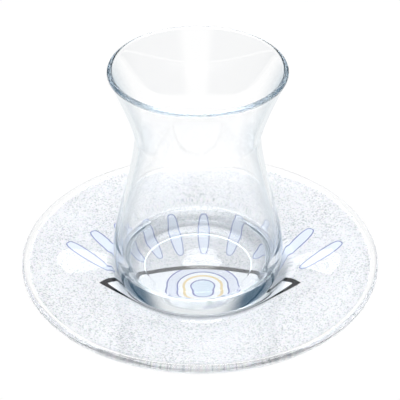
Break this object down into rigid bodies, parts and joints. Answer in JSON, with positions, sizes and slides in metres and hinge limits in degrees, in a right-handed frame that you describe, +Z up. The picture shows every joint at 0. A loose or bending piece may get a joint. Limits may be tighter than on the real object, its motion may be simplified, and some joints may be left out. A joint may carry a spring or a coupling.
{
  "type": "turkish tea glass with saucer",
  "caption": "Empty waisted clear tea glass standing in the well of a round pressed glass saucer with a glitter and eye print underneath.",
  "frame": {"origin": "on the table, on the axis of the saucer, at the bottom of its foot ring", "axes": "+Z is up, -Y is the side that the viewer sees, where the printed eye lies"},
  "size_m": [0.125, 0.125, 0.0902],
  "materials": {
    "clear_glass": "clear, fire polished, faint blue tint at its edges",
    "saucer_glass": "clear pressed glass, polished",
    "silver_print": "fine silver glitter printed under the glass",
    "colour_print": "enamel print in white, black, pale blue, violet and yellow"
  },
  "bodies": {
    "root": {"tea_glass": "clear_glass", "saucer": "saucer_glass"}
  },
  "joints": []
}
